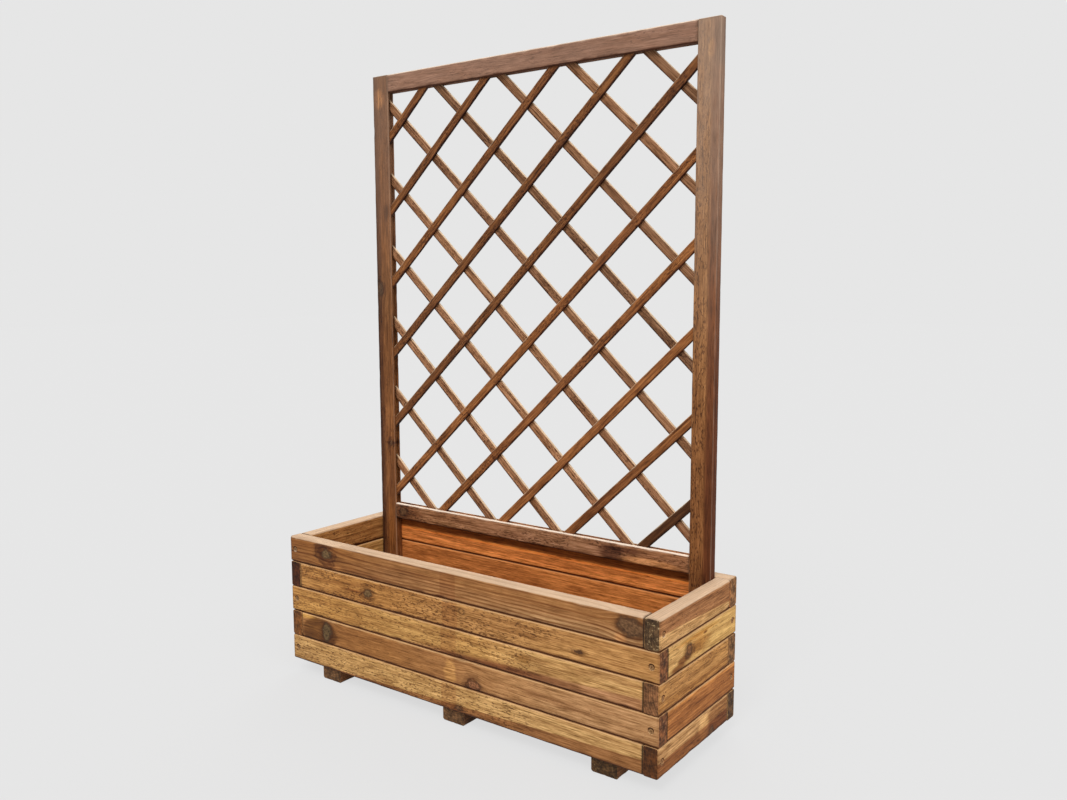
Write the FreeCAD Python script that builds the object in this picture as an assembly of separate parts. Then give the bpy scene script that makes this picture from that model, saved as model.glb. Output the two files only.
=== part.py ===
import FreeCAD, Part
import math
import os

os.makedirs("parts", exist_ok=True)

# Planter box with a lattice trellis standing in it. Sizes in millimetres.
# X runs along the box, Y from its front to its back, Z up from the ground.
# The origin is on the ground, under the middle of the box.

# Wall boards
box_length = 990.0
box_depth = 324.0
board_height = 60.0
board_thickness = 32.0
board_round = 4.0  # radius along the long edges
course_count = 5  # boards on top of each other in each wall

# Bearers under the box
bearer_width = 60.0
bearer_height = 32.0
bearer_recess = 10.0  # set back from the front and back faces
bearer_end_offset = 120.0  # from the box's end to an outer bearer's middle
bearer_round = 4.0

# Floor
floor_slat_count = 4
floor_slat_thickness = 18.0
floor_gap = 4.0  # beside each slat, where water drains
floor_end_gap = 2.0
floor_round = 2.0

# Trellis frame
trellis_top = 1424.0  # above the ground
post_width = 50.0
post_depth = 21.0
post_side_gap = 1.0  # between a post and the side wall
bottom_rail_height = 40.0
top_rail_height = 43.0
frame_chamfer = 2.5

# Lattice
crossing_columns = 9  # from side to side, every second place in them a crossing
crossing_rows = 11
column_margin = 38.4  # from a post to the nearest column
row_margin = 68.5  # from a rail to the nearest row
slat_width = 20.0
slat_thickness = 6.0
lattice_setback = 4.5  # behind the frame's front
groove_depth = 6.0
groove_side_gap = 0.2
slat_end_gap = 0.5  # between a slat's end and the groove's floor

# Battens in the front corners, which tie the courses together
batten_size = 28.0
batten_drop = 20.0  # from the rim down to their tops
batten_chamfer = 1.5

# Fasteners
long_screw_length = 70.0
long_screw_radius = 2.5
long_head_radius = 4.5
short_screw_length = 40.0
short_screw_radius = 2.25
short_head_radius = 4.25
screw_sink = 0.5  # the head's depth under the surface
screw_tip = 6.0
recess_width = 1.1  # of the cross in a screw's head
recess_span = 4.6
recess_depth = 1.6
short_screw_lift = 14.0  # off mid board, clear of the corner screws
floor_nail_radius = 1.4
floor_nail_head = 3.0
floor_nail_bite = 20.0  # into a bearer
lattice_nail_radius = 0.8
lattice_nail_head = 2.0
lattice_nail_cover = 1.0  # wood left in front of the tip
nail_head_thickness = 0.8
nail_tip = 2.0
hole_gap = 0.05  # round every fastener

same_length = 1e-6  # lengths closer than this are equal

# Worked out from the sizes above
half_length = box_length / 2
half_depth = box_depth / 2
inner_length = half_length - board_thickness
inner_depth = half_depth - board_thickness
rim = bearer_height + course_count * board_height
floor_top = bearer_height + floor_slat_thickness
post_outer = inner_length - post_side_gap
post_inner = post_outer - post_width
post_back = inner_depth
post_front = post_back - post_depth
opening_bottom = rim + bottom_rail_height
opening_top = trellis_top - top_rail_height
lattice_front = post_front + lattice_setback
lattice_middle = lattice_front + slat_thickness
lattice_back = lattice_middle + slat_thickness
column_step = (2 * post_inner - 2 * column_margin) / (crossing_columns - 1)
row_step = (opening_top - opening_bottom - 2 * row_margin) / (crossing_rows - 1)

pieces = {}
holes = {}
fasteners = {"long_screws": [], "short_screws": [], "floor_nails": [], "lattice_nails": []}


def vector(x, y, z):
    return FreeCAD.Vector(x, y, z)


def block(low, high):
    """A plain block between two opposite corners."""
    return Part.makeBox(high[0] - low[0], high[1] - low[1], high[2] - low[2], vector(*low))


def edges_along(shape, axis):
    """The straight edges that run along one axis: 0 for X, 1 for Y, 2 for Z."""
    chosen = []
    for edge in shape.Edges:
        start = edge.Vertexes[0].Point
        end = edge.Vertexes[-1].Point
        step = end - start
        if abs(abs(step[axis]) - step.Length) < same_length:
            chosen.append(edge)
    return chosen


def rounded_timber(low, high, axis, radius):
    """A timber with its four long edges rounded."""
    timber = block(low, high)
    return timber.makeFillet(radius, edges_along(timber, axis))


def chamfered_timber(low, high, axis, width):
    """A timber with its four long edges chamfered."""
    timber = block(low, high)
    return timber.makeChamfer(width, edges_along(timber, axis))


def turned(profile):
    """A solid of revolution about Z from (radius, height) points that start and end on the axis."""
    points = [vector(radius, 0, height) for radius, height in profile]
    outline = Part.makePolygon(points + [points[0]])
    return Part.Face(outline).revolve(vector(0, 0, 0), vector(0, 0, 1), 360)


def aim(shape, place, direction):
    """Moves a fastener made along +Z to its place, pointing in a direction."""
    moved = shape.copy()
    moved.Placement = FreeCAD.Placement(vector(*place), FreeCAD.Rotation(vector(0, 0, 1), direction))
    return moved


def screw(length, radius, head_radius):
    """A countersunk screw with a cross in its head, the surface of the wood at height 0."""
    cone = screw_sink + head_radius - radius
    body = turned([
        (0, screw_sink),
        (head_radius, screw_sink),
        (radius, cone),
        (radius, length - screw_tip),
        (0, length),
    ])
    for turn in (0, 90):
        slot = Part.makeBox(recess_span, recess_width, recess_depth)
        slot.translate(vector(-recess_span / 2, -recess_width / 2, screw_sink))
        slot.rotate(vector(0, 0, 0), vector(0, 0, 1), turn)
        body = body.cut(slot)
    return body


def screw_hole(length, radius, head_radius):
    """The hole for a screw, open to the outside of the wood."""
    cone = screw_sink + head_radius - radius
    return turned([
        (0, -screw_sink),
        (head_radius + hole_gap, -screw_sink),
        (head_radius + hole_gap, screw_sink),
        (radius + hole_gap, cone),
        (radius + hole_gap, length - screw_tip),
        (0, length + hole_gap),
    ])


def nail(length, radius, head_radius):
    """A flat-headed nail, its head level with the surface of the wood at height 0."""
    return turned([
        (0, 0),
        (head_radius, 0),
        (head_radius, nail_head_thickness),
        (radius, nail_head_thickness),
        (radius, length - nail_tip),
        (0, length),
    ])


def nail_hole(length, radius, head_radius):
    """The hole for a nail, open to the outside of the wood."""
    return turned([
        (0, -nail_head_thickness),
        (head_radius + hole_gap, -nail_head_thickness),
        (head_radius + hole_gap, nail_head_thickness),
        (radius + hole_gap, nail_head_thickness),
        (radius + hole_gap, length - nail_tip),
        (0, length + hole_gap),
    ])


def course_middle(course):
    """The height of a course's middle. Course 1 is at the rim."""
    return rim - (course - 0.5) * board_height


def fasten(group, made, hole, place, direction, joined):
    """Puts one fastener in place, and marks its hole on the pieces that it joins."""
    fasteners[group].append(aim(made, place, direction))
    for name in joined:
        holes.setdefault(name, []).append(aim(hole, place, direction))


def board_span(half, from_low_end):
    """A board covers one corner and stops against the next wall at the other."""
    if from_low_end:
        return -half, half - board_thickness
    return board_thickness - half, half


def wall_boards(course):
    """The four boards of one course. The corners that they cover swap from course to course."""
    bottom = rim - course * board_height
    top = bottom + board_height
    odd = course % 2 == 1
    front = board_span(half_length, odd)
    back = board_span(half_length, not odd)
    right = board_span(half_depth, odd)
    left = board_span(half_depth, not odd)
    corners = {
        "front": ((front[0], -half_depth, bottom), (front[1], -inner_depth, top), 0),
        "back": ((back[0], inner_depth, bottom), (back[1], half_depth, top), 0),
        "right": ((inner_length, right[0], bottom), (half_length, right[1], top), 1),
        "left": ((-half_length, left[0], bottom), (-inner_length, left[1], top), 1),
    }
    for wall, (low, high, axis) in corners.items():
        pieces[f"{wall}_board_{course}"] = rounded_timber(low, high, axis, board_round)


def bearers():
    """Three timbers on the ground, across the box."""
    outer = half_length - bearer_end_offset
    reach = half_depth - bearer_recess
    for name, x in (("left", -outer), ("middle", 0), ("right", outer)):
        low = (x - bearer_width / 2, -reach, 0)
        high = (x + bearer_width / 2, reach, bearer_height)
        pieces[f"bearer_{name}"] = rounded_timber(low, high, 1, bearer_round)
    return {"left": -outer, "middle": 0, "right": outer}


def floor_slats():
    """Slats along the box, on the bearers, with a gap beside each. Returns where their middles are."""
    width = (2 * inner_depth - (floor_slat_count + 1) * floor_gap) / floor_slat_count
    reach = inner_length - floor_end_gap
    middles = {}
    for number in range(floor_slat_count):
        front = -inner_depth + floor_gap + number * (width + floor_gap)
        name = f"floor_slat_{number + 1}"
        low = (-reach, front, bearer_height)
        high = (reach, front + width, floor_top)
        pieces[name] = rounded_timber(low, high, 0, floor_round)
        middles[name] = front + width / 2
    return middles


def battens():
    """Upright battens in the front corners, standing on the floor."""
    for name, side in (("left", -1), ("right", 1)):
        ends = sorted((side * inner_length, side * (inner_length - batten_size)))
        low = (ends[0], -inner_depth, floor_top)
        high = (ends[1], -inner_depth + batten_size, rim - batten_drop)
        pieces[f"corner_batten_{name}"] = chamfered_timber(low, high, 2, batten_chamfer)


def frame():
    """Two posts inside the back corners and two rails between them, grooved for the lattice."""
    groove_front = lattice_front - groove_side_gap
    groove_back = lattice_back + groove_side_gap
    for name, side in (("left", -1), ("right", 1)):
        ends = sorted((side * post_inner, side * post_outer))
        low = (ends[0], post_front, floor_top)
        high = (ends[1], post_back, trellis_top)
        groove_ends = sorted((side * post_inner, side * (post_inner + groove_depth)))
        groove = block(
            (groove_ends[0], groove_front, opening_bottom - groove_depth),
            (groove_ends[1], groove_back, opening_top + groove_depth),
        )
        pieces[f"post_{name}"] = chamfered_timber(low, high, 2, frame_chamfer).cut(groove)
    rails = (
        ("bottom", rim, opening_bottom, opening_bottom - groove_depth, opening_bottom),
        ("top", opening_top, trellis_top, opening_top, opening_top + groove_depth),
    )
    for name, bottom, top, groove_bottom, groove_top in rails:
        low = (-post_inner, post_front, bottom)
        high = (post_inner, post_back, top)
        groove = block(
            (-post_inner, groove_front, groove_bottom),
            (post_inner, groove_back, groove_top),
        )
        pieces[f"rail_{name}"] = chamfered_timber(low, high, 0, frame_chamfer).cut(groove)


def crossing_place(column, row):
    """Where a column and a row meet, along X and up Z."""
    x = column_margin - post_inner + column * column_step
    z = opening_bottom + row_margin + row * row_step
    return x, z


def lattice_slat(slope, front, column, row):
    """A slat through one crossing, cut off level with the frame inside its grooves."""
    reach = groove_depth - slat_end_gap
    side = post_inner + reach
    low = opening_bottom - reach
    high = opening_top + reach
    length = 2 * math.hypot(side, high - low)
    slat = block((-length, front, -slat_width / 2), (length, front + slat_thickness, slat_width / 2))
    angle = math.degrees(math.atan2(slope * row_step, column_step))
    slat.rotate(vector(0, 0, 0), vector(0, 1, 0), -angle)
    x, z = crossing_place(column, row)
    slat.translate(vector(x, 0, z))
    return slat.common(block((-side, front, low), (side, front + slat_thickness, high))).Solids[0]


def lattice():
    """Rising slats in front and falling slats behind, numbered from left to right.

    On a rising slat, column less row is one even number, and on a falling slat, column plus row is."""
    last_column = crossing_columns - 1
    last_row = crossing_rows - 1
    for number in range((last_column + last_row) // 2 + 1):
        difference = 2 * number - last_row
        row = max(0, -difference)
        rising = lattice_slat(1, lattice_front, row + difference, row)
        pieces[f"rising_slat_{number + 1:02d}"] = rising
        total = 2 * number
        row = min(total, last_row)
        falling = lattice_slat(-1, lattice_middle, total - row, row)
        pieces[f"falling_slat_{number + 1:02d}"] = falling


def corner_screws():
    """One screw through each board's covering end, into the end of the board that it covers."""
    made = screw(long_screw_length, long_screw_radius, long_head_radius)
    hole = screw_hole(long_screw_length, long_screw_radius, long_head_radius)
    x = half_length - board_thickness / 2
    y = half_depth - board_thickness / 2
    for course in range(1, course_count + 1):
        z = course_middle(course)
        if course % 2 == 1:
            near, far = "left", "right"
            hand = 1
        else:
            near, far = "right", "left"
            hand = -1
        covers = (
            ("front", near, (-hand * x, -half_depth, z), vector(0, 1, 0)),
            (far, "front", (hand * half_length, -y, z), vector(-hand, 0, 0)),
            ("back", far, (hand * x, half_depth, z), vector(0, -1, 0)),
            (near, "back", (-hand * half_length, y, z), vector(hand, 0, 0)),
        )
        for wall, covered, place, direction in covers:
            joined = (f"{wall}_board_{course}", f"{covered}_board_{course}")
            fasten("long_screws", made, hole, place, direction, joined)


def bearer_screws(places):
    """Screws up through the bearers into the lowest front and back boards."""
    made = screw(long_screw_length, long_screw_radius, long_head_radius)
    hole = screw_hole(long_screw_length, long_screw_radius, long_head_radius)
    y = half_depth - board_thickness / 2
    for name, x in places.items():
        for wall, side in (("front", -1), ("back", 1)):
            joined = (f"bearer_{name}", f"{wall}_board_{course_count}")
            fasten("long_screws", made, hole, (x, side * y, 0), vector(0, 0, 1), joined)


def rail_screws():
    """Screws through the posts into the rails' ends."""
    made = screw(long_screw_length, long_screw_radius, long_head_radius)
    hole = screw_hole(long_screw_length, long_screw_radius, long_head_radius)
    y = (post_front + post_back) / 2
    bottom_middle = (rim + opening_bottom - groove_depth) / 2
    top_middle = (trellis_top + opening_top + groove_depth) / 2
    for rail, z in (("bottom", bottom_middle), ("top", top_middle)):
        for post, side in (("left", -1), ("right", 1)):
            joined = (f"post_{post}", f"rail_{rail}")
            fasten("long_screws", made, hole, (side * post_outer, y, z), vector(-side, 0, 0), joined)


def upright_screws():
    """Screws from inside the box, through the posts and battens into the back and front boards.

    They are above mid board, but below it in the top course, where the battens end short."""
    made = screw(short_screw_length, short_screw_radius, short_head_radius)
    hole = screw_hole(short_screw_length, short_screw_radius, short_head_radius)
    post_x = (post_inner + post_outer) / 2
    batten_x = inner_length - batten_size / 2
    batten_y = -inner_depth + batten_size
    for course in range(1, course_count + 1):
        lift = -short_screw_lift if course == 1 else short_screw_lift
        z = course_middle(course) + lift
        for name, side in (("left", -1), ("right", 1)):
            joined = (f"post_{name}", f"back_board_{course}")
            fasten("short_screws", made, hole, (side * post_x, post_front, z), vector(0, 1, 0), joined)
            joined = (f"corner_batten_{name}", f"front_board_{course}")
            fasten("short_screws", made, hole, (side * batten_x, batten_y, z), vector(0, -1, 0), joined)


def floor_nails(places, middles):
    """One nail through each floor slat into each bearer."""
    length = floor_slat_thickness + floor_nail_bite
    made = nail(length, floor_nail_radius, floor_nail_head)
    hole = nail_hole(length, floor_nail_radius, floor_nail_head)
    for bearer, x in places.items():
        for slat, y in middles.items():
            joined = (slat, f"bearer_{bearer}")
            fasten("floor_nails", made, hole, (x, y, floor_top), vector(0, 0, -1), joined)


def lattice_nails():
    """One nail from behind at each crossing."""
    length = 2 * slat_thickness - lattice_nail_cover
    made = nail(length, lattice_nail_radius, lattice_nail_head)
    hole = nail_hole(length, lattice_nail_radius, lattice_nail_head)
    for column in range(crossing_columns):
        for row in range(column % 2, crossing_rows, 2):
            x, z = crossing_place(column, row)
            rising = (column - row + crossing_rows - 1) // 2 + 1
            falling = (column + row) // 2 + 1
            joined = (f"rising_slat_{rising:02d}", f"falling_slat_{falling:02d}")
            fasten("lattice_nails", made, hole, (x, lattice_back, z), vector(0, -1, 0), joined)


for course in range(1, course_count + 1):
    wall_boards(course)
bearer_places = bearers()
slat_middles = floor_slats()
battens()
frame()
lattice()

corner_screws()
bearer_screws(bearer_places)
rail_screws()
upright_screws()
floor_nails(bearer_places, slat_middles)
lattice_nails()

for name, cutters in holes.items():
    pieces[name] = pieces[name].cut(cutters)
for name, made in fasteners.items():
    pieces[name] = Part.makeCompound(made)

whole = Part.makeCompound(list(pieces.values())).BoundBox
for name, shape in pieces.items():
    shape.exportStep(f"parts/{name}.step")
    print(name, "solids", len(shape.Solids), "valid", shape.isValid(), "volume", round(shape.Volume))
print("pieces", len(pieces), "size", round(whole.XLength, 2), round(whole.YLength, 2), round(whole.ZLength, 2))
print("x", round(whole.XMin, 2), round(whole.XMax, 2), "y", round(whole.YMin, 2), round(whole.YMax, 2))
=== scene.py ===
import math
import bpy
import numpy as np
from mathutils import Matrix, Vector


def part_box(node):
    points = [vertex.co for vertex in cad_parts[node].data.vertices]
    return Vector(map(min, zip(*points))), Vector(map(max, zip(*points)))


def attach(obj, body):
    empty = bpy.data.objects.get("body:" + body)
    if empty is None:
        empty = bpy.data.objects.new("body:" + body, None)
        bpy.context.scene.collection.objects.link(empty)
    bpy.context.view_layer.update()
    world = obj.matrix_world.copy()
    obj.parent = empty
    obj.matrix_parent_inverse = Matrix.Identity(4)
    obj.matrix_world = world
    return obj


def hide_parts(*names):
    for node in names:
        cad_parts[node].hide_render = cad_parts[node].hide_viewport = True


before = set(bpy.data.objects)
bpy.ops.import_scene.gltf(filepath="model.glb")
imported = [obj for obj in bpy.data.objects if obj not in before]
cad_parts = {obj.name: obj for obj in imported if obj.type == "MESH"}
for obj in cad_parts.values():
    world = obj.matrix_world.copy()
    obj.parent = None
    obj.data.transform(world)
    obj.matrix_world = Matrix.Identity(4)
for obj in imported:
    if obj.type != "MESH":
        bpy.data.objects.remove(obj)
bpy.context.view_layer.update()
print("frame loaded:", len(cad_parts), "nodes")


def paint(red, green, blue):
    # an sRGB colour from 0 to 255, as the linear colour that a shader takes
    value = np.array((red, green, blue)) / 255
    linear = np.where(value <= 0.04045, value / 12.92, ((value + 0.055) / 1.055) ** 2.4)
    return tuple(float(channel) for channel in linear) + (1.0,)


class Wiring:
    # nodes of one tree; a plain value is set on its socket, and a socket is linked to it
    def __init__(self, tree):
        self.tree = tree

    def fill(self, node, inputs):
        for key, value in inputs.items():
            if isinstance(value, bpy.types.NodeSocket):
                self.tree.links.new(value, node.inputs[key])
            else:
                node.inputs[key].default_value = value

    def put(self, kind, inputs=None, **settings):
        node = self.tree.nodes.new(kind)
        for name, value in settings.items():
            setattr(node, name, value)
        self.fill(node, inputs or {})
        return node

    def use(self, group, inputs):
        return self.put("ShaderNodeGroup", inputs, node_tree=group).outputs

    def math(self, operation, a, b=0.0, c=0.0, clamp=False):
        inputs = {0: a, 1: b, 2: c}
        return self.put("ShaderNodeMath", inputs, operation=operation, use_clamp=clamp).outputs[0]

    def plus(self, a, b, clamp=False):
        return self.math("ADD", a, b, clamp=clamp)

    def minus(self, a, b):
        return self.math("SUBTRACT", a, b)

    def times(self, a, b, clamp=False):
        return self.math("MULTIPLY", a, b, clamp=clamp)

    def timesPlus(self, a, b, c):
        return self.math("MULTIPLY_ADD", a, b, c)

    def vector(self, operation, a, b=(0.0, 0.0, 0.0)):
        node = self.put("ShaderNodeVectorMath", {0: a, 1: b}, operation=operation)
        return node.outputs["Value" if operation == "LENGTH" else "Vector"]

    def scaled(self, vector, x, y, z):
        return self.vector("MULTIPLY", vector, (x, y, z))

    def split(self, vector):
        return self.put("ShaderNodeSeparateXYZ", {0: vector}).outputs

    def merge(self, x, y, z):
        return self.put("ShaderNodeCombineXYZ", {0: x, 1: y, 2: z}).outputs[0]

    def noise(self, vector, waves=(1, 1, 1), detail=2.0, roughness=0.5, shift=None):
        # noise that runs so many waves in a unit along each axis, moved by the shift
        place = self.scaled(vector, *waves)
        if shift is not None:
            place = self.vector("ADD", place, shift)
        inputs = {"Vector": place, "Scale": 1.0, "Detail": detail, "Roughness": roughness, "Distortion": 0.0}
        return self.put("ShaderNodeTexNoise", inputs).outputs[0]

    def step(self, value, low, high, start=0.0, end=1.0):
        # start below low, end above high, smooth between
        inputs = {0: value, 1: low, 2: high, 3: start, 4: end}
        return self.put("ShaderNodeMapRange", inputs, interpolation_type="SMOOTHSTEP").outputs[0]

    def mix(self, factor, a, b, blend="MIX"):
        inputs = {0: factor, 6: a, 7: b}
        return self.put("ShaderNodeMix", inputs, data_type="RGBA", blend_type=blend).outputs[2]

    def tint(self, colour, tone):
        return self.mix(1.0, colour, tone, "MULTIPLY")

    def shade(self, colour, factor):
        # a colour times a plain number
        return self.tint(colour, self.merge(factor, factor, factor))


def nodeGroup(name, inputs, outputs):
    # an empty node group, whose inputs take their kind from their value: tree, wiring, inputs, end
    tree = bpy.data.node_groups.new(name, "ShaderNodeTree")
    for label, value in inputs.items():
        kind = {3: "Vector", 4: "Color"}[len(value)] if isinstance(value, tuple) else "Float"
        socket = tree.interface.new_socket(label, in_out="INPUT", socket_type="NodeSocket" + kind)
        socket.default_value = value
    for label, kind in outputs.items():
        tree.interface.new_socket(label, in_out="OUTPUT", socket_type="NodeSocket" + kind)
    start, end = tree.nodes.new("NodeGroupInput"), tree.nodes.new("NodeGroupOutput")
    return tree, Wiring(tree), start.outputs, end


# what darker wood multiplies the colour by, and the shade for long edges; the last is painted shade on faces that look
# down
shades = {
    "knotSurround": (0.3, 0.22, 0.17, 1), "lateWood": (0.5, 0.38, 0.28, 1), "line": (0.56, 0.42, 0.3, 1),
    "fleck": (0.2, 0.12, 0.07, 1), "edge": (0.45, 0.3, 0.22, 1), "under": (0.22, 0.11, 0.045, 1),
}
# tones laid over the colour: the crevice tone is painted shade in a seam under the next course, and the near-black gap
# tone is both the end grain's dark rings and painted shade in the gap at a butt joint
washes = {
    "knotRim": paint(64, 38, 20), "crevice": paint(98, 54, 22), "endSpot": paint(176, 152, 110),
    "gap": (0.02, 0.011, 0.006, 1),
}
# noises: waves in a metre along, across and through the grain, detail, roughness, shift
softwoodNoise = {
    "bendA": ((3.2, 14, 14), 1), "bendB": ((3.2, 14, 14), 1, 0.5, (31, 7, 5)), "ripple": ((9, 120, 120),),
    "streak": ((11, 300, 300), 2, 0.55), "fibre": ((34, 560, 560), 3, 0.65), "mottle": ((22, 62, 62), 4, 0.62),
    "darkLine": ((5, 220, 220), 2, 0.5, (2, 4, 6)), "cloud": ((3.1, 13, 13),), "fleck": ((115, 360, 360), 2, 0.6),
    "fleckField": ((11, 34, 34), 3, 0.5, (3, 9, 1)),
}
finishNoise = {
    "patch": ((9, 40, 40), 4, 0.6), "endSpots": ((10, 150, 150), 4, 0.7, (5, 2, 8)),
    "endBroad": ((10, 55, 55), 2, 0.6, (1, 6, 4)),
}
# the same in waves in a knot's radius
knotNoise = {"border": ((0.55, 0.75, 0.3), 4, 0.6), "surround": ((0.2, 0.45, 0.1), 3, 0.6)}


def knotDistance(w, s):
    # distance from the knot's middle over its radius, with the along part shrunk by the stretch
    along, across, depth = w.split(w.vector("SUBTRACT", s["Grain"], s["Place"]))
    shrunk = w.math("DIVIDE", along, s["Stretch"])
    square = w.plus(w.math("POWER", shrunk, 2), w.math("POWER", across, 2))
    return along, across, depth, w.math("DIVIDE", w.math("SQRT", square), s["Radius"])


def knotBendGroup():
    # grain passes round a knot: across is drawn in by 1 - 0.8 exp(-0.32 distance squared)
    tree, w, s, end = nodeGroup("knotBend", {
        "Grain": (0, 0, 0), "Place": (0, 0, 0), "Radius": 0.01, "Stretch": 1.4,
    }, {"Grain": "Vector"})
    along, across, depth, distance = knotDistance(w, s)
    pull = w.math("EXPONENT", w.times(w.math("POWER", distance, 2), -0.32))
    drawn = w.times(across, w.timesPlus(pull, -0.8, 1))
    w.fill(end, {"Grain": w.vector("ADD", s["Place"], w.merge(along, drawn, depth))})
    return tree


def knotGroup():
    # a shaded surround, a dark rim where the distance is near 1, and rings inside it
    tree, w, s, end = nodeGroup("knot", {
        "Colour": (0, 0, 0, 1), "Height": 0, "Grain": (0, 0, 0), "Place": (0, 0, 0), "Radius": 0.01,
        "Stretch": 1.4, "Surround": 2.4, "Shade": 0.6, "Heart": (0.15, 0.1, 0.06, 1),
    }, {"Colour": "Color", "Height": "Float"})
    along, across, depth, distance = knotDistance(w, s)
    size = w.merge(*[w.math("DIVIDE", part, s["Radius"]) for part in (along, across, depth)])
    size = w.vector("ADD", size, w.scaled(s["Place"], 90, 90, 90))
    rough = w.noise(size, *knotNoise["border"])
    ragged = w.timesPlus(w.minus(rough, 0.5), 2.4, distance)
    broad = w.noise(size, *knotNoise["surround"])
    smeared = w.timesPlus(w.minus(broad, 0.5), w.times(s["Surround"], 1.6), distance)
    surround = w.times(w.step(smeared, w.times(s["Surround"], 0.5), s["Surround"], 1, 0), s["Shade"])
    ray = w.step(w.math("PINGPONG", w.times(smeared, 1.3), 0.5), 0.1, 0.4, 0.7, 1)
    dark = w.tint(s["Colour"], shades["knotSurround"])
    colour = w.mix(w.times(surround, ray), s["Colour"], dark)
    inside = w.step(ragged, 0.8, 1.05, 1, 0)
    ring = w.step(w.math("PINGPONG", w.times(ragged, 2.6), 0.5), 0.1, 0.45)
    speckle = w.noise(s["Grain"], (160, 200, 80), 3, 0.65)
    heart = w.shade(s["Heart"], w.timesPlus(ring, 0.35, w.timesPlus(speckle, 2.8, -0.65)))
    colour = w.mix(w.times(inside, 0.85), colour, heart)
    rim = w.times(w.step(ragged, 0.6, 0.9), w.step(ragged, 0.95, 1.3, 1, 0))
    colour = w.mix(w.times(rim, 0.6), colour, washes["knotRim"])
    w.fill(end, {"Colour": colour, "Height": w.timesPlus(rim, -0.8, s["Height"])})
    return tree


def smudgeGroup():
    # an oval patch with a ragged, soft border, tinted by a tone
    tree, w, s, end = nodeGroup("smudge", {
        "Colour": (0, 0, 0, 1), "Grain": (0, 0, 0), "Place": (0, 0, 0), "Reach": (0.05, 0.02, 1),
        "Border": 0.4, "Ragged": 0.8, "Tone": (0.5, 0.4, 0.3, 1),
    }, {"Colour": "Color"})
    away = w.vector("SUBTRACT", s["Grain"], s["Place"])
    distance = w.vector("LENGTH", w.vector("DIVIDE", away, s["Reach"]))
    rough = w.noise(s["Grain"], (26, 75, 9), 4, 0.6, shift=s["Place"])
    distance = w.timesPlus(w.minus(rough, 0.5), s["Ragged"], distance)
    share = w.step(distance, w.minus(1, s["Border"]), w.plus(1, s["Border"]), 1, 0)
    w.fill(end, {"Colour": w.mix(share, s["Colour"], w.tint(s["Colour"], s["Tone"]))})
    return tree


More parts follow.
